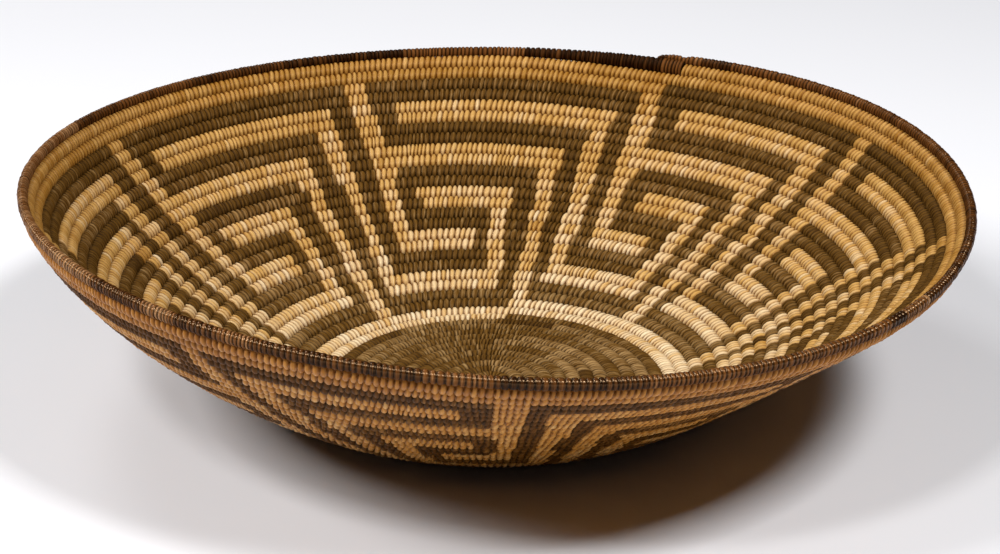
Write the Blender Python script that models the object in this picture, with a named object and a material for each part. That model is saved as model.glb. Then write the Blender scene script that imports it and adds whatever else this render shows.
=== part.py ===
"""Coiled basketry bowl: one long coil of bundled stems, sewn over and over with flat splints.

The coil starts at a small wound knot, spirals out as a flat base, turns up into a flaring wall
and ends at the rim in a tapered tip that is laid down on the round before it. Each round of the
coil is a solid of its own, cut where the weaver's pattern steps up by one round, and it lies
against the rounds on both sides of it.

Units are metres and +Z is up. The origin is the middle of the face that the base rests on. An
angle round the bowl is 0 at +Y and grows clockwise, seen from above. The coil itself runs
outwards the other way.
"""

import bisect
import math
from operator import mul

import bpy

# Shape of the middle surface of the basketry, from the base to the rim
BASE_RADIUS = 0.0711
RIM_RADIUS = 0.1877
WALL_RISE = 0.0869
FOOT_RUN = 0.0436  # how far out, and up, the wall's foot reaches before it turns steeper
FOOT_RISE = 0.0127
LIP_RUN = 0.002  # the same below the rim, where the wall stands steepest
LIP_RISE = 0.0093

# The coil
COIL_WIDTH = 0.0056
COIL_THICKNESS = 0.005
COIL_CROWN = 0.0028  # width of the flatter crown on each face of the coil
ROUND_GAP = 0.00035
END_GAP = 0.0005  # between the end of one round and the start of the next
PALE_RING_ROUNDS = 2

# The rim isn't level: (waves round the rim, height in metres, angle of a crest in degrees)
RIM_WAVES = ((1, 0.0018, -118), (2, 0.0036, 61), (3, 0.0007, -39))
WAVE_REACH = 3.0  # how late the waves and the oval set in on the way up the wall, as a power
OVAL = 0.0067  # the rim is out of round: this much wider one way and narrower the other
OVAL_ANGLE = -13.3
BELLY_WAVES = ((1, 0.0042, -45), (2, 0.0033, 78))  # and so is the wall half way up, as waves

# The seam, where one round of the pattern ends and the next begins
SEAM_AT_RIM = 27.0
SEAM_LEAN = 0.86  # degrees that the seam moves back in each round inwards
SEAM_JOG = 0.65  # share of a round that the rim's rounds climb just past the seam
SEAM_JOG_ANGLE = 28.0

# The tip of the coil at the rim, and the swell of the rim's round where it lies under the tip
TIP_LENGTH = 0.05
TIP_THICKNESS = 0.0026
SWELL_THICKNESS = 0.0066

# Steps along the coil
CHORD = 0.0035
MOST_STEPS = 40
STEP_MULTIPLE = 8
STUB = 0.0012  # straight piece at each end of a round, square to its end face
PROFILE_STEPS = 600

DARK_SPLINT = ("Devil's claw splint", (0.062, 0.042, 0.026, 1.0), 0.55)
LIGHT_SPLINT = ("Willow splint", (0.47, 0.31, 0.125, 1.0), 0.5)
RIM_SPLINT = ("Rubbed rim splint", (0.105, 0.045, 0.016, 1.0), 0.3)


def clear_scene():
    for obj in list(bpy.data.objects):
        bpy.data.objects.remove(obj, do_unlink=True)


def wall_point(t):
    """A point of the level wall, from its foot (t = 0) to the rim (t = 1): a cubic curve."""
    weights = ((1 - t) ** 3, 3 * t * (1 - t) ** 2, 3 * t * t * (1 - t), t ** 3)
    radii = (BASE_RADIUS, BASE_RADIUS + FOOT_RUN, RIM_RADIUS - LIP_RUN, RIM_RADIUS)
    heights = (0.0, FOOT_RISE, WALL_RISE - LIP_RISE, WALL_RISE)
    return sum(map(mul, weights, radii)), sum(map(mul, weights, heights))


def waves_at(angle, waves):
    return sum(height * math.cos(count * (angle - math.radians(crest)))
               for count, height, crest in waves)


def level_wall():
    """Points of the level wall and how far each is from the centre, measured along the surface."""
    points = [wall_point(i / PROFILE_STEPS) for i in range(PROFILE_STEPS + 1)]
    lengths = [BASE_RADIUS]
    for (r0, z0), (r1, z1) in zip(points, points[1:]):
        lengths.append(lengths[-1] + math.hypot(r1 - r0, z1 - z0))
    return points, lengths


WALL_POINTS, WALL_LENGTHS = level_wall()
LEVEL_LENGTH = WALL_LENGTHS[-1]
ROUNDS = round(LEVEL_LENGTH / COIL_WIDTH)
PITCH = LEVEL_LENGTH / ROUNDS
BASE_ROUNDS = int(BASE_RADIUS / PITCH - 1)  # the pale ring starts on the flat of the base


def surface_place(length, angle):
    """Radius and height of the middle surface, at a distance from the centre along the level bowl.

    The base is flat. Up the wall the rim's waves and its oval grow from nothing, and the belly's
    waves come and go. Past the rim the surface runs on straight.
    """
    if length <= BASE_RADIUS:
        return length, 0.0
    i = min(bisect.bisect_left(WALL_LENGTHS, length), PROFILE_STEPS) - 1
    (r0, z0), (r1, z1) = WALL_POINTS[i], WALL_POINTS[i + 1]
    along = (length - WALL_LENGTHS[i]) / (WALL_LENGTHS[i + 1] - WALL_LENGTHS[i])
    radius, height = r0 + along * (r1 - r0), z0 + along * (z1 - z0)
    share = (radius - BASE_RADIUS) / (RIM_RADIUS - BASE_RADIUS)
    grown = share ** WAVE_REACH
    half_way = 4 * share * max(0.0, 1 - share)
    stretch = waves_at(angle, ((2, OVAL, OVAL_ANGLE),)) * grown + waves_at(angle, BELLY_WAVES) * half_way
    return radius * (1 + stretch / RIM_RADIUS), height + waves_at(angle, RIM_WAVES) * grown


def seam_angle(number):
    """Where the round with this number starts: the rim's round is number ROUNDS - 1."""
    return math.radians(SEAM_AT_RIM - SEAM_LEAN * (ROUNDS - 1 - number))


def jog_share(gone):
    """Grows smoothly from 0 at the seam to 1 where the jog ends."""
    return 0.5 - 0.5 * math.cos(math.pi * min(1.0, gone / math.radians(SEAM_JOG_ANGLE)))


def turn_of(number, angle):
    """How many turns from the centre the coil's middle is, at an angle along one round.

    A plain spiral climbs evenly. Towards the rim part of the climb is made just past the seam,
    so that the rim comes out nearly level.
    """
    gone = seam_angle(number) - angle
    even = gone / (2 * math.pi)
    jogged = SEAM_JOG * jog_share(gone) + (1 - SEAM_JOG) * even
    wall_share = max(0.0, (number - BASE_ROUNDS) / (ROUNDS - 1 - BASE_ROUNDS))
    return number + even + wall_share * (jogged - even)


def round_angles(number):
    """The angles of a round's points: its two ends, their stubs and an even grid between."""
    radius = max(PITCH, PITCH * number)
    end_shift = 0.5 * END_GAP / radius
    start = seam_angle(number) - end_shift
    stop = seam_angle(number + 1) - 2 * math.pi + end_shift
    steps = STEP_MULTIPLE * math.ceil(2 * math.pi * radius / (STEP_MULTIPLE * CHORD))
    steps = min(MOST_STEPS, max(2 * STEP_MULTIPLE, steps))
    step = 2 * math.pi / steps
    stub = STUB / radius
    first = math.floor((start - 1.5 * stub) / step)
    last = math.ceil((stop + 1.5 * stub) / step)
    grid = [i * step for i in range(first, last - 1, -1)]
    return [start, start - stub] + grid + [stop + stub, stop]


def coil_size(number, gone, to_go):
    """Size of the coil against its usual size, from how far it has gone and has to go.

    Only the rim's round changes: it starts swollen, and thins evenly to its tip.
    """
    if number < ROUNDS - 1:
        return 1.0
    swell = SWELL_THICKNESS / COIL_THICKNESS - 1
    thinning = 1 - TIP_THICKNESS / COIL_THICKNESS
    left_of_tip = max(0.0, 1 - to_go / TIP_LENGTH)
    return 1 + swell * (1 - jog_share(gone)) - thinning * left_of_tip


def coil_point(number, angle, to_go):
    """Centre, slope and size of the coil at an angle along a round, to_go before its end.

    The coil's two sides lie on the middle surface, half a pitch from its path. A thinner or
    thicker coil keeps its inner side against the round before it.
    """
    size = coil_size(number, seam_angle(number) - angle, to_go)
    inner_side = PITCH * (turn_of(number, angle) - 0.5)
    inner_radius, inner_height = surface_place(inner_side, angle)
    outer_radius, outer_height = surface_place(inner_side + PITCH * size, angle)
    run, rise = outer_radius - inner_radius, outer_height - inner_height
    radius, height = inner_radius + run / 2, inner_height + rise / 2 + COIL_THICKNESS / 2
    centre = (radius * math.sin(angle), radius * math.cos(angle), height)
    return centre, math.atan2(rise, run), math.hypot(run, rise) / PITCH


def splint_material(settings):
    name, colour, roughness = settings
    material = bpy.data.materials.new(name)
    material.use_nodes = True
    shader = material.node_tree.nodes["Principled BSDF"]
    shader.inputs["Base Color"].default_value = colour
    shader.inputs["Roughness"].default_value = roughness
    shader.inputs["Metallic"].default_value = 0.0
    return material


def coil_section(collection):
    """The outline that every round carries along its path: six sides, with a flat crown each way."""
    half_width = (PITCH - ROUND_GAP) / 2
    half_crown = COIL_CROWN / 2
    half_thickness = COIL_THICKNESS / 2
    outline = [(-half_width, 0), (-half_crown, half_thickness), (half_crown, half_thickness),
               (half_width, 0), (half_crown, -half_thickness), (-half_crown, -half_thickness)]
    curve = bpy.data.curves.new("coil_section", "CURVE")
    curve.dimensions = "2D"
    spline = curve.splines.new("POLY")
    spline.points.add(len(outline) - 1)
    for point, (x, y) in zip(spline.points, outline):
        point.co = (x, y, 0, 1)
    spline.use_cyclic_u = True
    section = bpy.data.objects.new("coil_section", curve)
    section.hide_render = True
    section.display_type = "WIRE"
    collection.objects.link(section)
    return section


def coil_round(collection, name, number, section, material):
    """One round of the coil: a spiral path that carries the section, turned to the wall's slope."""
    angles = round_angles(number)
    curve = bpy.data.curves.new(name, "CURVE")
    curve.dimensions = "3D"
    curve.twist_mode = "Z_UP"
    curve.bevel_mode = "OBJECT"
    curve.bevel_object = section
    curve.use_fill_caps = True
    spline = curve.splines.new("POLY")
    spline.points.add(len(angles) - 1)
    for point, angle in zip(spline.points, angles):
        centre, slope, size = coil_point(number, angle, (angle - angles[-1]) * RIM_RADIUS)
        point.co = (*centre, 1)
        point.tilt = -slope
        point.radius = size
    curve.materials.append(material)
    collection.objects.link(bpy.data.objects.new(name, curve))


def start_knot(collection, material):
    """The wound knot at the centre: a snail's outline that the first round closes on."""
    first, *angles = round_angles(1)
    outline = []
    inner_edge = 0.5 + 0.5 * ROUND_GAP / PITCH
    for angle in [first] + angles:
        radius = PITCH * (turn_of(1, angle) - inner_edge) - ROUND_GAP / 2
        outline.append((radius * math.sin(angle), radius * math.cos(angle)))
    curve = bpy.data.curves.new("start_knot", "CURVE")
    curve.dimensions = "2D"
    curve.fill_mode = "BOTH"
    curve.extrude = COIL_THICKNESS / 2
    spline = curve.splines.new("POLY")
    spline.points.add(len(outline) - 1)
    for point, (x, y) in zip(spline.points, outline):
        point.co = (x, y, 0, 1)
    spline.use_cyclic_u = True
    curve.materials.append(material)
    knot = bpy.data.objects.new("start_knot", curve)
    knot.location.z = COIL_THICKNESS / 2
    collection.objects.link(knot)


def round_name(number):
    """The name of a round and the splint that most of it is sewn with."""
    if number <= BASE_ROUNDS:
        return f"base_round_{number:02d}", DARK_SPLINT
    if number <= BASE_ROUNDS + PALE_RING_ROUNDS:
        return f"pale_ring_round_{number - BASE_ROUNDS:02d}", LIGHT_SPLINT
    if number == ROUNDS - 1:
        return "rim_round", RIM_SPLINT
    wall_number = number - BASE_ROUNDS - PALE_RING_ROUNDS
    from_rim = ROUNDS - 1 - number
    light = (from_rim - 1) // 2 % 2 == 0
    return f"wall_round_{wall_number:02d}", LIGHT_SPLINT if light else DARK_SPLINT


def build():
    clear_scene()
    bowl = bpy.data.collections.new("Basketry bowl")
    guides = bpy.data.collections.new("Guides")
    for collection in (bowl, guides):
        bpy.context.scene.collection.children.link(collection)
    materials = {settings[0]: splint_material(settings)
                 for settings in (DARK_SPLINT, LIGHT_SPLINT, RIM_SPLINT)}
    section = coil_section(guides)
    start_knot(bowl, materials[DARK_SPLINT[0]])
    for number in range(1, ROUNDS):
        name, settings = round_name(number)
        coil_round(bowl, name, number, section, materials[settings[0]])
    print(f"{ROUNDS} rounds of {1000 * PITCH:.2f} mm, {BASE_ROUNDS} of them in the base")


build()
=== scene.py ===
"""Looks of the coiled basketry bowl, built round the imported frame.

Every round of the coil is dressed as what it is: a bundle of stems under one long splint, wrapped
stitch after stitch. Each stitch is its own low ridge with a groove on both sides, it leans a little
one way inside the bowl and the other way outside, and it is willow or devil's claw as the fret asks.

Units are metres and +Z is up. An angle round the bowl is 0 at +Y, the back of the photograph, and
grows clockwise seen from above. Rounds are numbered from the knot, 0, to the rim, ROUNDS - 1. A row
is a round counted from the rim, which is row 0, as the weaver's pattern is read in the photograph.
"""

import math

import bpy
import numpy as np
from mathutils import Matrix, Vector


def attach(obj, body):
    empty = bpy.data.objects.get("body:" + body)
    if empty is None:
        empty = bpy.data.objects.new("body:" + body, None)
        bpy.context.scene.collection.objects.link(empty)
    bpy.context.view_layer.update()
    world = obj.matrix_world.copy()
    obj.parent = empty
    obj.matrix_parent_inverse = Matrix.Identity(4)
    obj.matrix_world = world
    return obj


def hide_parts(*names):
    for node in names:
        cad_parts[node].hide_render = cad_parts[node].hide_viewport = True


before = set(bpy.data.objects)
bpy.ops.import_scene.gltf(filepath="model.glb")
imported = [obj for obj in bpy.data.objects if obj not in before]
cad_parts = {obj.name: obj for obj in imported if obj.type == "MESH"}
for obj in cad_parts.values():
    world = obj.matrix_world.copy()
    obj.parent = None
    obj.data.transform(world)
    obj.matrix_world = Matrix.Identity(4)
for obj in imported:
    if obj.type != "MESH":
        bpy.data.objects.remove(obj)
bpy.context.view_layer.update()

# The middle surface of the basketry, as in the frame: base, wall, and the waves of the rim
BASE_RADIUS = 0.0711
RIM_RADIUS = 0.1877
WALL_RISE = 0.0869
FOOT_RUN = 0.0436
FOOT_RISE = 0.0127
LIP_RUN = 0.002
LIP_RISE = 0.0093
PAST_RIM = 0.01  # how far the surface runs on past the rim, where the last coil rises above it
RIM_WAVES = ((1, 0.0018, -118), (2, 0.0036, 61), (3, 0.0007, -39))
WAVE_REACH = 3.0
OVAL = 0.0067
OVAL_ANGLE = -13.3
BELLY_WAVES = ((1, 0.0042, -45), (2, 0.0033, 78))

# The coil and its seam, as in the frame
ROUNDS = len(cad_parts)
COIL_THICKNESS = 0.005
SEAM_AT_RIM = 27.0
SEAM_LEAN = 0.86
SEAM_JOG = 0.65
SEAM_JOG_ANGLE = 28.0
RIM_SIZE = 0.82  # the rim's coil against the others
TIP_OVERLAP = 0.09  # radians that the rim's tip is laid on past the seam
TIP_SIZES = (  # its coil's size by the length it has to go to the seam, which is below 0 past it
    (-0.017, 0.2), (-0.015, 0.4), (-0.0093, 0.53), (-0.0053, 0.56), (0, 0.8), (0.02, RIM_SIZE),
)
TIP_CLIMB = 0.0012  # how far it climbs onto the rim round's own start
TIP_CLIMB_RUN = (0.003, 0.007)  # where past the seam it climbs
SWELL_THICKNESS = 0.0066
KNOT_SIZE = 0.3  # the least size of the knot's coil
KNOT_GROWTH = 1.9  # how much of its size the knot's coil gains in a turn
ROUND_OVERLAP = 0.003  # how far a round runs on into the one before it and the one after it
PROFILE_STEPS = 600
PATH_STEPS = 1200

# Stitches
STITCH = 0.00245  # from one stitch to the next
RIM_STITCH = 0.0019
DISC_STITCH = 0.0018
FEWEST_STITCHES = 6  # in a round
END_CLEAR = 0.6  # of a stitch's width, that columns which go on keep from the ends of a round
FRESH_SPREAD = 0.2  # of a stitch's width, in the rounds of the base, where no column goes on
WIDTH_SPREAD = 0.07  # of a stitch's width, one standard deviation
LEAN_SPREAD = 0.25  # of a stitch's lean
LIFT_SPREAD = 0.00008  # how far a stitch stands out of its row
TILT_SPREAD = 0.00012  # and one side of it above the other
SQUEEZE_SPREAD = 0.5  # how much wider than it is a step may count, when the widest are halved
EVENING_STEPS = 8  # how often the steps are evened out, to make room for what is squeezed in
SPLINT_RUN = 24  # stitches that one splint makes before the next one is started
STITCH_SAMPLES = (0.0, 0.13, 0.36, 0.64, 0.87)  # across one stitch, groove to groove
SECTION_POINTS = 14  # round the coil
LEAN = 0.00068  # how far a stitch leans along the coil, from the middle of the row to its edge
RIM_LEAN = 0.3  # of that, at the rim
LEAN_TURN = 3  # how sharply the lean turns over between the inside of the bowl and the outside
RIDGE_SQUARENESS = 3  # power of a stitch's outline across it
GROOVE = 0.0008  # depth between stitches on the crown of a row
EDGE_GROOVE = 0.0015  # and where two rows meet
RIM_GROOVE = 0.0008  # and all round the rim
OUTER_GROOVE = 1.5  # times as deep outside the bowl
CLAW_GROOVE = 0.75  # times as deep between stitches of devil's claw, which lie flatter
TOUCHING = 0.9  # share of edge from which a point of the section lies where rows touch
GAP_REACH = 0.9  # a row's width against the pitch, between two stitches
STITCH_REACH = 1.22  # and at a stitch, whose ends reach in between those of the next row
RIM_REACH = 1.04  # and at the rim, and where rows touch below their stitches' ends
TAPER = 1.5  # how much narrower a stitch is at its ends, as a power of its ridge
CREVICE_PAINTED_SHADE = 1.8  # painted shade between stitches, 1 being wholly dark at the bottom of a groove
RIM_PAINTED_SHADE = 2.8
EDGE_PAINTED_SHADE = 0.7  # and where rows meet
OUTSIDE_FROM = -0.1  # sine of the place round the coil, below which it is outside the bowl
OUTSIDE_AGE = 0.9  # how much more age there is outside, and how much more painted shade
OUTSIDE_PAINTED_SHADE = 0.12
RUB_RISE = 2.5  # how fast the rim turns glossy towards its crest, from 0.4 of its half width up
END_INSET = 0.6  # how far a round's end face is drawn in towards its middle
SQUARENESS = 2.1  # power of the coil's outline: 2 is an oval
GIRTH = 0.016  # round the coil
FIBRE_SHIFT = (0.5, 37.0)  # sets each stitch at another place in the fibre's pattern

# The bake map: strips in shares of their own length and height, and the end faces in the margin
STRIP_START = 0.02
STRIP_LENGTH = 0.95
STRIP_HEIGHT = 0.96
END_SHARE = 0.002  # of the whole round, that an end's slope takes up
END_FACE_PLACE = 0.985
END_FACE_RADIUS = 0.01

# Fret: for each panel, the angles of line A's upright, and where line B, line A's branch and the
# inner line turn down, read at the top of each one
PANELS = (
    (-66.1, -25.7, -33.1, -41.0),
    (-22.4, 18.8, 11.6, 3.1),
    (22.0, 57.9, 50.6, 42.8),
    (61.7, 96.4, 89.4, 81.2),
    (100.0, 135.0, 128.4, 120.8),
    (138.0, 173.4, 166.8, 159.4),
    (176.3, 210.7, 204.3, 197.1),
    (213.5, 250.0, 243.2, 235.6),
    (253.0, 289.8, 283.0, 275.4),
)
UPRIGHT_TOP = 3  # the row where those angles were read, for line A's upright
TURN_TOPS = (6, 10, 14)  # and for the others
LINE_START = 7.0  # degrees from line A's upright to the free ends of the other lines
HOOK_GAP = 3.3  # degrees from line A's foot to the inner line
UPRIGHT_LEAN = 0.107  # degrees in each row that the uprights drift, as the sine of their angle
TURN_LEANS = (0.035, 0.095, 0.2)  # degrees in each row that lines B, A and the inner line lean
WIDE_UPRIGHT = 4  # stitches across an upright near the rim
NARROW_UPRIGHT = 3  # and lower down
NARROW_FROM_ROW = 12
RIM_ROW, DISC_ROW = 0, 27
PALE_ROWS = (1, 2, 25, 26)

# Rim splint: runs of amber between the dark, as (from, to, share of amber) in degrees. The run from -122
# to -70, on the left of the rim, is partly amber and partly a painted sheen
AMBER_AND_SHEEN_RUNS = (
    (-132, -122, 0.7), (-146, -141, 0.6), (-155.5, -151.5, 0.55), (180, 186.5, 0.45), (135, 165, 0.3),
    (127, 132, 0.65), (-60, -45, 0.3), (-13, 4, 0.5), (24, 29.6, 0.35), (34.5, 62, 0.35),
    # The first run here, at the left of the rim, is partly its own amber and partly a painted sheen
    (-122, -70, 0.6), (62, 127, 0.25), (-180, -132, 0.15), (-70, -13, 0.1),
)

# Tones by row: darker near the rim than low down
WILLOW_TONES = ((1, 0.2), (2, 0.22), (5, 0.48), (10, 0.52), (20, 0.64), (26, 0.8))
CLAW_TONES = ((3, 0.42), (14, 0.42), (24, 0.56))
DISC_TONE = 0.54
RIM_DARK = 0.08
RIM_AMBER = 0.85  # how much lighter amber is than that

# How far a run of stitches strays from its tone, and each stitch from its run
WILLOW_STRAY = (0.08, 0.09)
CLAW_STRAY = (0.10, 0.06)
DISC_STRAY = (0.16, 0.08)
RIM_STRAY = (0.06, 0.06)

# Age: at the rim, how far a run strays from it, and how much of it is lost by a row
AGE_AT_RIM = 0.15
AGE_STRAY = 0.10
AGE_LOST = 0.15
AGE_LOST_BY_ROW = 24

# Finish of the splints
SHINE_TINT = "#ffd4a4"
PATINA = "#f0d2a2"
FIBRE_BUMP = 0.35
FIBRE_DEPTH = 0.00012
FIBRE_ROUGHNESS = (0.08, -0.06)  # what dark fibre and light fibre add to the roughness
DULL_ROUGHNESS = 0.5  # of a rubbed splint where it isn't rubbed
DULL_SHINE = 0.05

RANDOM_SEED = 7


def level_wall():
    """The level bowl from its centre to a little past the rim, as radius, height and length.

    The base is flat. The wall is a cubic curve set by four points: the foot, one that it heads
    for there, one that it comes from at the rim, and the rim. Past the rim it runs straight on.
    """
    t = np.linspace(0, 1, PROFILE_STEPS + 1)
    weights = np.stack(((1 - t) ** 3, 3 * t * (1 - t) ** 2, 3 * t * t * (1 - t), t ** 3))
    radius = np.array((BASE_RADIUS, BASE_RADIUS + FOOT_RUN, RIM_RADIUS - LIP_RUN, RIM_RADIUS)) @ weights
    height = np.array((0.0, FOOT_RISE, WALL_RISE - LIP_RISE, WALL_RISE)) @ weights
    on = PAST_RIM / math.hypot(LIP_RUN, LIP_RISE)
    radius = np.concatenate(([0.0], radius, [RIM_RADIUS + on * LIP_RUN]))
    height = np.concatenate(([0.0], height, [WALL_RISE + on * LIP_RISE]))
    length = np.concatenate(([0.0], np.cumsum(np.hypot(np.diff(radius), np.diff(height)))))
    return radius, height, length


WALL_RADII, WALL_HEIGHTS, WALL_LENGTHS = level_wall()
PITCH = WALL_LENGTHS[-2] / ROUNDS
BASE_ROUNDS = int(BASE_RADIUS / PITCH - 1)


def surface_place(length, angle):
    """Radius and height of the middle surface at a length from the centre and an angle.

    Up the wall the rim's waves and its oval grow as a power of the share of the wall's run, and
    the belly's waves come and go as 4 times the share times what is left of it.
    """
    radius = np.interp(length, WALL_LENGTHS, WALL_RADII)
    height = np.interp(length, WALL_LENGTHS, WALL_HEIGHTS)
    share = np.clip((radius - BASE_RADIUS) / (RIM_RADIUS - BASE_RADIUS), 0, None)
    grown = share ** WAVE_REACH
    half_way = 4 * share * np.clip(1 - share, 0, None)
    stretch = waves_at(angle, ((2, OVAL, OVAL_ANGLE),)) * grown + waves_at(angle, BELLY_WAVES) * half_way
    return radius * (1 + stretch / RIM_RADIUS), height + waves_at(angle, RIM_WAVES) * grown


def waves_at(angle, waves):
    """A sum of cosine waves round the bowl: each one's count, height, and degrees of its crest."""
    return sum(height * np.cos(count * (angle - math.radians(crest))) for count, height, crest in waves)


def seam_angle(number):
    return math.radians(SEAM_AT_RIM - SEAM_LEAN * (ROUNDS - 1 - number))


def jog_share(gone):
    """Half a cosine wave, from 0 at the seam to 1 where the jog ends."""
    return 0.5 - 0.5 * np.cos(math.pi * np.clip(gone / math.radians(SEAM_JOG_ANGLE), 0, 1))


def turn_of(number, angle):
    """Turns from the centre to the coil's middle: an even spiral, with a jog that grows up the wall."""
    gone = seam_angle(number) - angle
    even = gone / (2 * math.pi)
    jogged = SEAM_JOG * jog_share(gone) + (1 - SEAM_JOG) * even
    wall_share = max(0.0, (number - BASE_ROUNDS) / (ROUNDS - 1 - BASE_ROUNDS))
    return number + even + wall_share * (jogged - even)


def coil_size(number, angle):
    """The coil's size against its usual one: the knot grows to it, the rim swells and tapers."""
    if number == 0:
        return np.clip(KNOT_GROWTH * turn_of(0, angle), KNOT_SIZE, 1.0)
    if number < ROUNDS - 1:
        return np.ones_like(angle)
    swell = SWELL_THICKNESS / COIL_THICKNESS - RIM_SIZE
    swollen = swell * (1 - jog_share(seam_angle(number) - angle))
    return swollen + np.interp(length_to_go(angle), *zip(*TIP_SIZES))


def length_to_go(angle):
    """Length of the rim round from an angle to the seam where it closes: below 0 past the seam."""
    return (angle - seam_angle(ROUNDS) + 2 * math.pi) * RIM_RADIUS


def coil_frame(number, angle):
    """Centre of the coil, its way across the row, its way up out of the surface, and its size.

    The coil's two sides lie half its thickness above the middle surface. The way across runs from
    the inner side to the outer one, and the way up is square to it and to the coil.
    """
    size = coil_size(number, angle)
    inner = np.maximum(PITCH * (turn_of(number, angle) - 0.5), 0)
    if number == ROUNDS - 1:
        climbed = np.interp(-length_to_go(angle), TIP_CLIMB_RUN, (0, 1))
        inner = inner + TIP_CLIMB * (3 - 2 * climbed) * climbed ** 2
    r0, z0 = surface_place(inner, angle)
    r1, z1 = surface_place(inner + PITCH * size, angle)
    slope = np.arctan2(z1 - z0, r1 - r0)
    radius, height = (r0 + r1) / 2, (z0 + z1) / 2 + COIL_THICKNESS / 2
    sine, cosine = np.sin(angle), np.cos(angle)
    centre = np.stack((radius * sine, radius * cosine, height), -1)
    across = np.stack((np.cos(slope) * sine, np.cos(slope) * cosine, np.sin(slope)), -1)
    up = np.stack((-np.sin(slope) * sine, -np.sin(slope) * cosine, np.cos(slope)), -1)
    return centre, across, up, np.hypot(r1 - r0, z1 - z0) / PITCH


def coil_path(number):
    """The coil's middle line along one round: angles, lengths from the seam, and the whole length."""
    start, stop = seam_angle(number), seam_angle(number + 1) - 2 * math.pi
    over = ROUND_OVERLAP / (PITCH * max(number, 1))
    past = over if number < ROUNDS - 1 else TIP_OVERLAP
    angle = np.linspace(start + over, stop - past, PATH_STEPS)
    centre = coil_frame(number, angle)[0]
    step = np.linalg.norm(np.diff(centre, axis=0), axis=1)
    length = np.concatenate(([0.0], np.cumsum(step)))
    length -= np.interp(-start, -angle, length)
    return angle, length, float(np.interp(-stop, -angle, length)) if number < ROUNDS - 1 else length[-1]


def spread(rng, count):
    """Random numbers with a standard deviation of 1, none of them past 2."""
    return rng.standard_normal(count).clip(-2, 2)


def stitch_edges(inner_edges, total, pitch, rng):
    """Where each stitch of a round begins, as lengths along it.

    A stitch is caught in the one below it, so its column goes on from round to round. The round has
    grown, so more stitches are squeezed in: some of the widest steps are halved, and each edge is
    drawn half way to the middle of its neighbours, again and again, to make room.
    """
    count = max(FEWEST_STITCHES, round(total / pitch))
    if not len(inner_edges):
        steps = 1 + FRESH_SPREAD * spread(rng, count)
        return np.concatenate(([0.0], np.cumsum(steps))) * total / steps.sum()
    clear = END_CLEAR * pitch
    edges = inner_edges[(inner_edges > clear) & (inner_edges < total - clear)]
    lead = np.arange(0.0, edges[0] - 0.5 * pitch, pitch)
    trail = np.arange(edges[-1] + pitch, total - 0.5 * pitch, pitch)
    edges = np.concatenate((lead, edges, trail, [total]))
    while len(edges) < count + 1:
        more = min(count + 1 - len(edges), (len(edges) + 1) // 2)
        widest = np.diff(edges) * (1 + SQUEEZE_SPREAD * rng.random(len(edges) - 1))
        split = np.argsort(widest)[-more:]
        edges = np.sort(np.append(edges, (edges[split] + edges[split + 1]) / 2))
    for _ in range(EVENING_STEPS):
        edges[1:-1] = 0.5 * edges[1:-1] + 0.25 * (edges[:-2] + edges[2:])
    return edges


def between(angle, low, high):
    """Whether an angle in degrees lies between two others, going round clockwise from the first."""
    return (angle - low) % 360 <= (high - low) % 360


def is_light(row, angle, radius):
    """Whether a stitch is willow: the fret's rule, by its row and its angle in degrees."""
    if row in PALE_ROWS:
        return np.ones(angle.shape, bool)
    light = np.zeros(angle.shape, bool)
    if row == RIM_ROW or row >= DISC_ROW:
        return light
    stitches = WIDE_UPRIGHT if row < NARROW_FROM_ROW else NARROW_UPRIGHT
    width = math.degrees(stitches * STITCH / radius)

    def lean(at, rate, top_row):
        return at - (row - top_row) * (rate + UPRIGHT_LEAN * math.sin(math.radians(at)))

    for i, (upright, b_turn, a_turn, inner_turn) in enumerate(PANELS):
        upright = lean(upright, 0, UPRIGHT_TOP)
        start = upright + LINE_START
        b_turn, a_turn, inner_turn = map(lean, (b_turn, a_turn, inner_turn), TURN_LEANS, TURN_TOPS)
        before = lean(PANELS[i - 1][1], TURN_LEANS[0], TURN_TOPS[0])
        # Each stretch of a line: whether it is in this row, and the angles that it runs between
        lines = (
            (3 <= row <= 18, upright, upright + width),
            (row in (5, 6), start, b_turn),
            (7 <= row <= 22, b_turn - width, b_turn),
            (row in (9, 10), upright, a_turn),
            (11 <= row <= 24, a_turn - width, a_turn),
            (row in (13, 14), start, inner_turn),
            (15 <= row <= 22, inner_turn - width, inner_turn),
            (row in (17, 18), upright, inner_turn - width - HOOK_GAP),
            (row in (21, 22), before - width, inner_turn),
        )
        for here, low, high in lines:
            if here:
                light |= between(angle, low, high)
    return light


def coil_section():
    """The coil's outline, its outward normals, its share of edge and the stitches' lean, by point.

    The outline is a squarish oval, |x|^n + |z|^n = 1 scaled to the coil. A stitch leans along the
    coil the more, the further it is across the row: one way inside the bowl, the other outside.
    """
    turn = (np.arange(SECTION_POINTS) + 0.5) * 2 * math.pi / SECTION_POINTS
    cosine, sine = np.cos(turn), np.sin(turn)
    power = 2 / SQUARENESS
    half_width, half_thickness = PITCH / 2, COIL_THICKNESS / 2
    x = half_width * np.sign(cosine) * np.abs(cosine) ** power
    z = half_thickness * np.sign(sine) * np.abs(sine) ** power
    normal = np.stack((cosine / half_width, sine / half_thickness))
    normal /= np.linalg.norm(normal, axis=0)
    edge = cosine ** 2
    lean = LEAN * cosine * np.tanh(LEAN_TURN * sine)
    return x, z, normal, edge, lean


def ridge(u):
    """How far a stitch stands above its grooves at u, from 0 to 1 across it."""
    return np.sqrt(1 - np.abs(2 * u - 1) ** RIDGE_SQUARENESS)


def linear(hex_colour):
    """An sRGB hex colour as linear RGBA."""
    values = [int(hex_colour[i:i + 2], 16) / 255 for i in (1, 3, 5)]
    return [v / 12.92 if v <= 0.04045 else ((v + 0.055) / 1.055) ** 2.4 for v in values] + [1.0]


def input_of(node, name):
    """A node's input by its name, or by i and its number, or None if the node has no such input."""
    if name[0] == "i" and name[1:].isdigit():
        return node.inputs[int(name[1:])]
    return node.inputs.get(name)


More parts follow.
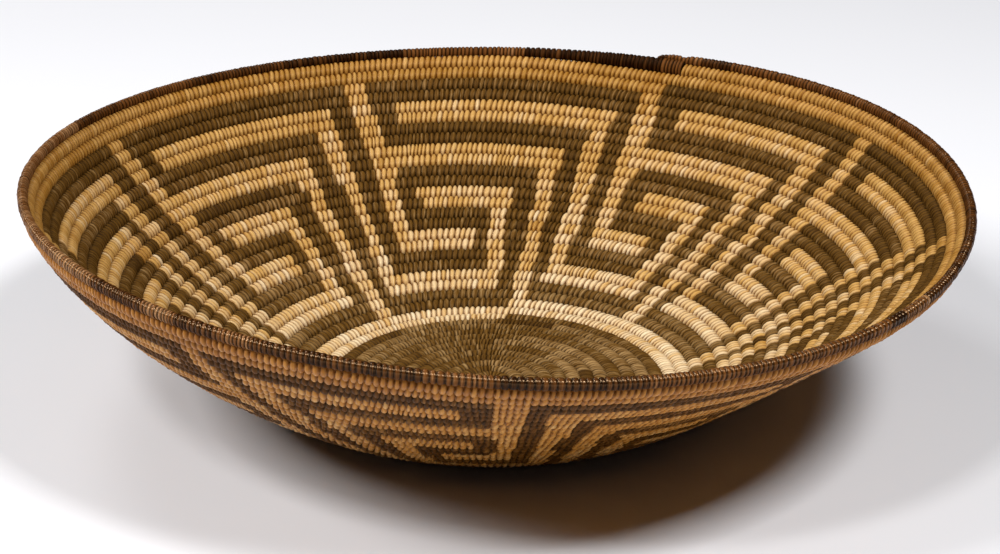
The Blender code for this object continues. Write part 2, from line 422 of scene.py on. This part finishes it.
def add(tree, kind, settings=None, **links):
    """Adds a node, sets its attributes and default inputs, and links its inputs to other outputs."""
    node = tree.nodes.new(kind)
    for name, value in (settings or {}).items():
        if input_of(node, name) is None:
            setattr(node, name, value)
        else:
            input_of(node, name).default_value = value
    for name, output in links.items():
        tree.links.new(output, input_of(node, name))
    return node


def mixed(tree, factor, first, second, blend="MIX"):
    """A colour blended from two, each of them a hex colour or an output."""
    node = add(tree, "ShaderNodeMix", {"data_type": "RGBA", "blend_type": blend}, i0=factor)
    for slot, colour in ((6, first), (7, second)):
        if isinstance(colour, str):
            node.inputs[slot].default_value = linear(colour)
        else:
            tree.links.new(colour, node.inputs[slot])
    return node.outputs[2]


def scaled(tree, value, low, high, from_low=0.0, from_high=1.0):
    """A number taken from one range to another, and kept inside it."""
    ranges = {"From Min": from_low, "From Max": from_high, "To Min": low, "To Max": high}
    return add(tree, "ShaderNodeMapRange", {"clamp": True, **ranges}, Value=value).outputs["Result"]


def splint_material(name, tones, painted_shade_colour, roughness, shine, patina=None, streak_scale=(6.0, 0.35),
                    contrast=0.7):
    """Split plant fibre, sewn damp and dried hard.

    The stitch's tone takes the colour from the first of three tones through the second to the
    third. Fine streaks follow the fibre, the patina warms what hands and smoke have reached, and
    the colour is drawn towards a dark one as painted shade in crevices. A splint with no patina is
    a rubbed one, glossy where it has age.
    """
    material = bpy.data.materials.new(name)
    material.use_nodes = True
    tree = material.node_tree
    shader = tree.nodes["Principled BSDF"]
    tone_age_and_painted_shade = add(tree, "ShaderNodeAttribute", {"attribute_name": "splint"})
    parts = add(tree, "ShaderNodeSeparateColor", Color=tone_age_and_painted_shade.outputs["Color"])
    tone, age, shade = parts.outputs[0], parts.outputs[1], parts.outputs[2]
    places = add(tree, "ShaderNodeUVMap", {"uv_map": "fibre"})
    # The streaks are coarser than real fibre, which is finer than a view shows
    stretch = add(tree, "ShaderNodeMapping", {"Scale": (*streak_scale, 1.0)},
                  Vector=places.outputs["UV"])
    streaks = add(tree, "ShaderNodeTexNoise", {"Scale": 1.0, "Detail": 2.0},
                  Vector=stretch.outputs["Vector"])
    centred = add(tree, "ShaderNodeMath", {"operation": "ADD", "i1": -contrast / 2}, i0=tone)
    streaked = add(tree, "ShaderNodeMath", {"operation": "MULTIPLY_ADD", "i1": contrast},
                   i0=streaks.outputs["Fac"], i2=centred.outputs[0])
    fibre = streaked.outputs[0]
    colour = mixed(tree, scaled(tree, fibre, 0, 1, 0, 0.5), tones[0], tones[1])
    colour = mixed(tree, scaled(tree, fibre, 0, 1, 0.5, 1.0), colour, tones[2])
    if patina:
        colour = mixed(tree, age, colour, patina, "MULTIPLY")
    # Painted shade: the colour is drawn towards a dark shade colour in the grooves between stitches,
    # where rows meet, and all over the outside of the bowl
    colour = mixed(tree, shade, colour, painted_shade_colour)
    tree.links.new(colour, shader.inputs["Base Color"])
    shader.inputs["Specular IOR Level"].default_value = shine
    shader.inputs["Specular Tint"].default_value = linear(SHINE_TINT)
    if patina:
        dark_fibre, light_fibre = FIBRE_ROUGHNESS
        rough = scaled(tree, fibre, roughness + dark_fibre, roughness + light_fibre)
    else:
        rough = scaled(tree, age, DULL_ROUGHNESS, roughness)
        glossy = scaled(tree, age, DULL_SHINE, shine)
        tree.links.new(glossy, shader.inputs["Specular IOR Level"])
    tree.links.new(rough, shader.inputs["Roughness"])
    bump = add(tree, "ShaderNodeBump", {"Strength": FIBRE_BUMP, "Distance": FIBRE_DEPTH},
               Height=streaks.outputs["Fac"])
    tree.links.new(bump.outputs["Normal"], shader.inputs["Normal"])
    return material


def mesh_object(name, vertices, corners, sizes, materials, smooth=True):
    """A mesh whose faces take as many of the corners, each a vertex's number, as sizes says."""
    mesh = bpy.data.meshes.new(name)
    mesh.vertices.add(len(vertices))
    mesh.vertices.foreach_set("co", vertices.astype(np.float32).ravel())
    mesh.loops.add(len(corners))
    mesh.loops.foreach_set("vertex_index", corners.astype(np.int32))
    mesh.polygons.add(len(sizes))
    mesh.polygons.foreach_set("loop_start", (np.cumsum(sizes) - sizes).astype(np.int32))
    mesh.polygons.foreach_set("use_smooth", np.full(len(sizes), smooth))
    for material in materials:
        mesh.materials.append(material)
    mesh.update(calc_edges=True)
    made = bpy.data.objects.new(name, mesh)
    bpy.context.scene.collection.objects.link(made)
    return made


def corner_map(mesh, name, u, v):
    layer = mesh.uv_layers.new(name=name, do_init=False)
    layer.uv.foreach_set("vector", np.stack((u, v), -1).astype(np.float32).ravel())


def drawn_in(ring):
    """A ring of vertices drawn in towards its own middle, for a round's end face."""
    return ring + (ring.mean(axis=0, keepdims=True) - ring) * END_INSET


def grid_corners(columns):
    """A round's faces: each corner's column and point, and how many corners each face has.

    A face between two columns has four. After those come the two end faces, a whole ring each.
    """
    c, k = np.meshgrid(np.arange(columns - 1), np.arange(SECTION_POINTS), indexing="ij")
    ring = np.arange(SECTION_POINTS)
    ends_c = np.repeat([0, columns - 1], SECTION_POINTS)
    corner_c = np.append(np.stack((c, c + 1, c + 1, c), -1).ravel(), ends_c)
    corner_k = np.concatenate((np.stack((k, k, k + 1, k + 1), -1).ravel(), ring, ring[::-1]))
    return corner_c, corner_k, np.append(np.full(c.size, 4), [SECTION_POINTS] * 2)


def sewn_round(number, materials, inner_angles, rng):
    """One round of the coil with its stitches. Gives the angles where its stitches begin.

    A grid: along the coil run the samples of each stitch, and round it the points of the section.
    A vertex is the section's point, moved in along its normal by the groove's depth where it lies
    between two stitches, set at the length along the coil that the stitch's lean gives.
    """
    row = ROUNDS - 1 - number
    rim = row == RIM_ROW
    angle, length, total = coil_path(number)
    in_disc = row >= DISC_ROW
    inner_edges = np.zeros(0) if in_disc else np.interp(-inner_angles, -angle, length)
    pitch = RIM_STITCH if rim else DISC_STITCH if in_disc else STITCH
    edges = stitch_edges(inner_edges, total, pitch, rng)
    edge_angles = np.interp(edges, length, angle)
    count = len(edges) - 1
    edges[1:-1] += WIDTH_SPREAD * pitch * spread(rng, count - 1)
    middle_angle = np.degrees(np.interp((edges[:-1] + edges[1:]) / 2, length, angle))
    half_way = coil_frame(number, angle[PATH_STEPS // 2:PATH_STEPS // 2 + 1])[0][0]
    radius = float(np.hypot(*half_way[:2]))
    light = is_light(row, middle_angle, radius)
    samples = np.array(STITCH_SAMPLES)
    width = np.diff(edges)
    along = np.append((edges[:-1, None] + width[:, None] * samples).ravel(), total)
    u = np.append(np.tile(samples, count), 0.0)
    stitch = np.append(np.repeat(np.arange(count), len(samples)), count - 1)
    stands = ridge(u)

    x, z, normal, edge, lean = coil_section()
    # The grooves are deeper towards where rows meet, but where they touch there are none
    touching = edge > TOUCHING
    depth = np.where(touching, 0, GROOVE + (EDGE_GROOVE - GROOVE) * edge)
    depth = depth * np.where(z < 0, OUTER_GROOVE, 1)
    if rim:
        lean = lean * RIM_LEAN
        depth = np.full(SECTION_POINTS, RIM_GROOVE)
    swing = np.append(1 + LEAN_SPREAD * spread(rng, count), 1.0)
    swing[0] = 1.0
    swung = np.interp(along, edges, swing)
    place = along[:, None] - swung[:, None] * lean[None, :]
    at = np.interp(place, length, angle)
    centre, across, up, size = coil_frame(number, at)

    lift = LIFT_SPREAD * spread(rng, count)
    tilt = TILT_SPREAD * spread(rng, count)
    proud = (lift[stitch] + tilt[stitch] * (2 * u - 1)) * stands
    tapered = stands[:, None] ** (1 + TAPER * edge * (not rim))
    flatness = np.where(light | rim, 1, CLAW_GROOVE)
    sunk = depth * flatness[stitch][:, None] * (1 - tapered) - proud[:, None]
    reach = GAP_REACH + (STITCH_REACH - GAP_REACH) * stands[:, None] ** TAPER
    reach = np.where(touching, np.maximum(reach, RIM_REACH), reach)
    if rim:
        reach = RIM_REACH
    x_here = size * x * reach - normal[0] * sunk * np.minimum(size, 1)
    z_here = size * z - normal[1] * sunk * np.minimum(size, 1)
    vertices = centre + across * x_here[..., None] + up * z_here[..., None]
    vertices[..., 2] = vertices[..., 2].clip(0)  # worn flat where it rests
    vertices = np.concatenate(([drawn_in(vertices[0])], vertices, [drawn_in(vertices[-1])]))

    corner_c, corner_k, sizes = grid_corners(len(vertices))
    point = corner_k % SECTION_POINTS
    corners = corner_c * SECTION_POINTS + point
    if rim:
        used = [materials["rim"]]
        kind = np.zeros(count, int)
    else:
        used = [materials["willow"], materials["claw"]]
        kind = np.where(light, 0, 1)
    made = mesh_object(node_of(number), vertices.reshape(-1, 3), corners, sizes, used)
    mesh = made.data

    owner = np.concatenate(([0], stitch[:-1], [count - 1]))
    owner = np.append(np.repeat(owner, SECTION_POINTS), [0, count - 1])
    mesh.polygons.foreach_set("material_index", kind[owner].astype(np.int32))

    tone, age = stitch_tones(row, middle_angle, light, rng)
    # Painted shade, darkest at the bottom of each groove between stitches and where rows meet
    painted_shade = painted_crevice_shade(tapered, edge * (not rim), RIM_PAINTED_SHADE if rim else CREVICE_PAINTED_SHADE)
    painted_shade = np.concatenate((painted_shade[:1], painted_shade, painted_shade[-1:]))
    face_stitch = np.repeat(owner, sizes)
    outside = np.sin((corner_k + 0.5) * 2 * math.pi / SECTION_POINTS) < OUTSIDE_FROM
    # Red is each stitch's tone; green is its age, and at the rim how rubbed it is; blue is the painted
    # shade, with more of it all over the outside
    colours = np.ones((len(corner_c), 4), np.float32)
    colours[:, 0] = tone[face_stitch]
    if rim:
        colours[:, 1] = np.clip(RUB_RISE * (x / x.max())[point] - 1, 0, 1)
    else:
        colours[:, 1] = np.clip(age[face_stitch] + OUTSIDE_AGE * outside, 0, 1)
    colours[:, 2] = np.clip(painted_shade[corner_c, point] + OUTSIDE_PAINTED_SHADE * outside, 0, 1)
    attribute = mesh.color_attributes.new("splint", "FLOAT_COLOR", "CORNER")
    attribute.data.foreach_set("color", colours.ravel())

    long_place = np.concatenate((along[:1], along, along[-1:])) / STITCH
    round_place = corner_k * GIRTH / (SECTION_POINTS * STITCH) + FIBRE_SHIFT[1] * face_stitch
    corner_map(mesh, "fibre", long_place[corner_c] + FIBRE_SHIFT[0] * face_stitch, round_place)
    bake_map(mesh, along / total, total, corner_c, corner_k)
    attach(made, "root")
    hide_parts(made_for(number))
    return edge_angles


def bake_map(mesh, share, total, corner_c, corner_k):
    """A map of the whole round, cut into strips that fill a square, with no two faces in one place.

    The two end faces lie in the margin beside the strips.
    """
    strips = max(1, round(math.sqrt(total / GIRTH)))
    share = np.concatenate(([-END_SHARE], share, [1 + END_SHARE]))
    share = (share - share[0]) / (share[-1] - share[0])
    strip_of_column = np.minimum((share[:-1] * strips).astype(int), strips - 1)
    strip = np.append(np.repeat(strip_of_column, 4 * SECTION_POINTS), np.zeros(2 * SECTION_POINTS, int))
    u = STRIP_START + STRIP_LENGTH * (share[corner_c] * strips - strip)
    v = (strip + STRIP_START + STRIP_HEIGHT * corner_k / SECTION_POINTS) / strips
    turn = 2 * math.pi * np.arange(SECTION_POINTS) / SECTION_POINTS
    for first, height in ((-2 * SECTION_POINTS, 0.25), (-SECTION_POINTS, 0.75)):
        face = np.arange(first, first + SECTION_POINTS)
        u[face] = END_FACE_PLACE + END_FACE_RADIUS * np.cos(turn)
        v[face] = height + END_FACE_RADIUS * np.sin(turn)
    corner_map(mesh, "OFBake", u, v)


def painted_crevice_shade(tapered, edge, strength):
    """How much painted shade a vertex gets for lying in a crevice: between stitches, and where rows
    meet.
    """
    return np.clip(strength * (1 - tapered) + EDGE_PAINTED_SHADE * edge ** 3, 0, 1)


def stitch_tones(row, angle, light, rng):
    """Each stitch's tone and age, from 0 to 1.

    A splint makes a run of stitches of one tone before the next one starts, and each stitch strays
    a little from its run.
    """
    count = len(angle)
    run = np.cumsum(rng.random(count) < 1 / SPLINT_RUN)
    of_run = rng.standard_normal(run[-1] + 1)[run]
    stray = rng.standard_normal(count)

    def strayed(tone, spreads):
        return tone + spreads[0] * of_run + spreads[1] * stray

    if row == RIM_ROW:
        # Amber, and in the run at the left of the rim a painted sheen as well
        amber = np.zeros(count)
        for low, high, share in AMBER_AND_SHEEN_RUNS:
            amber = np.maximum(amber, share * between(angle, low, high))
        tone = strayed(RIM_DARK + RIM_AMBER * amber, RIM_STRAY)
    elif row >= DISC_ROW:
        tone = strayed(DISC_TONE, DISC_STRAY)
    else:
        willow = strayed(np.interp(row, *zip(*WILLOW_TONES)), WILLOW_STRAY)
        claw = strayed(np.interp(row, *zip(*CLAW_TONES)), CLAW_STRAY)
        tone = np.where(light, willow, claw)
    lost = AGE_LOST * np.clip(row / AGE_LOST_BY_ROW, 0, 1)
    age = np.clip(AGE_AT_RIM + AGE_STRAY * of_run - lost, 0, 1)
    return np.clip(tone, 0, 1), age


def node_of(number):
    return "sewn_" + made_for(number)


def made_for(number):
    """The frame's node that a round stands for."""
    if number == 0:
        return "start_knot"
    if number <= BASE_ROUNDS:
        return f"base_round_{number:02d}"
    if number <= BASE_ROUNDS + 2:
        return f"pale_ring_round_{number - BASE_ROUNDS:02d}"
    if number == ROUNDS - 1:
        return "rim_round"
    return f"wall_round_{number - BASE_ROUNDS - 2:02d}"


FLOOR_REACH = 4.0  # from the middle to an edge

# Softboxes, each with its place, width and power
SOFTBOX_TARGET = (0, 0, 0.03)
SOFTBOXES = (
    ("left_softbox", (-1.7, -0.75, 1.75), 0.7, 38),
    ("front_left_softbox", (-0.8, -1.38, 1.9), 0.3, 16),
    ("front_right_softbox", (0.85, -1.0, 1.9), 0.5, 38),
    ("back_left_softbox", (-0.9, 0.9, 1.8), 0.6, 8),
)


def stage():
    """A plain pale floor, four softboxes above it and a faint sky."""
    corners = FLOOR_REACH * np.array([(-1, -1, 0), (1, -1, 0), (1, 1, 0), (-1, 1, 0)], float)
    floor = mesh_object("floor", corners, np.arange(4), np.array([4]), [floor_material()], smooth=False)
    for name, place, width, power in SOFTBOXES:
        softbox(name, place, width, power)
    world = bpy.data.worlds.new("Pale studio")
    world.use_nodes = True
    background = world.node_tree.nodes["Background"]
    background.inputs["Color"].default_value = linear("#e9ebf0")
    background.inputs["Strength"].default_value = 0.02
    bpy.context.scene.world = world


def floor_material():
    """Matt white background paper, a little cool."""
    material = bpy.data.materials.new("White background paper")
    material.use_nodes = True
    tree = material.node_tree
    shader = tree.nodes["Principled BSDF"]
    grain = add(tree, "ShaderNodeTexNoise", {"Scale": 3.0, "Detail": 2.0},
                Vector=add(tree, "ShaderNodeTexCoord").outputs["Object"])
    colour = mixed(tree, grain.outputs["Fac"], "#f0f0f4", "#f5f5f8")
    tree.links.new(colour, shader.inputs["Base Color"])
    shader.inputs["Roughness"].default_value = 0.85
    return material


def softbox(name, place, width, power):
    lamp = bpy.data.lights.new(name, "AREA")
    lamp.shape = "SQUARE"
    lamp.size = width
    lamp.energy = power
    made = bpy.data.objects.new(name, lamp)
    made.location = place
    made.rotation_euler = (Vector(SOFTBOX_TARGET) - Vector(place)).to_track_quat("-Z", "Y").to_euler()
    bpy.context.scene.collection.objects.link(made)


# Camera: tipped down 21.3 degrees from the front, a touch turned about its own axis
CAMERA_PLACE = (0.0024, -0.9220, 0.4081)
CAMERA_TIP = 0.3722
CAMERA_ROLL = 0.0074
CAMERA_LENS = 90.3  # millimetres, on a sensor 36 wide


def camera():
    data = bpy.data.cameras.new("camera")
    data.sensor_width = 36
    data.lens = CAMERA_LENS
    data.clip_start = 0.01
    made = bpy.data.objects.new("camera", data)
    looks = Matrix.Rotation(math.pi / 2 - CAMERA_TIP, 4, "X") @ Matrix.Rotation(CAMERA_ROLL, 4, "Z")
    made.matrix_world = Matrix.Translation(CAMERA_PLACE) @ looks
    bpy.context.scene.collection.objects.link(made)
    bpy.context.scene.camera = made


def build():
    bpy.context.scene.view_settings.view_transform = "Standard"
    camera()
    stage()
    materials = {
        "willow": splint_material("Split willow, mellowed", ("#a0702a", "#cca05a", "#ead6b0"),
                                  "#663605", 0.36, 0.32, PATINA),
        "claw": splint_material("Split devil's claw", ("#3c2508", "#664618", "#a48456"),
                                "#281603", 0.55, 0.15, PATINA, (3.4, 0.5), 1.4),
        "rim": splint_material("Rim splint, rubbed glossy", ("#200c02", "#74461e", "#cb9c6c"),
                               "#0e0400", 0.24, 0.6),
    }
    inner_angles = np.zeros(0)
    for number in range(ROUNDS):
        rng = np.random.default_rng(RANDOM_SEED + number)
        inner_angles = sewn_round(number, materials, inner_angles, rng)


build()
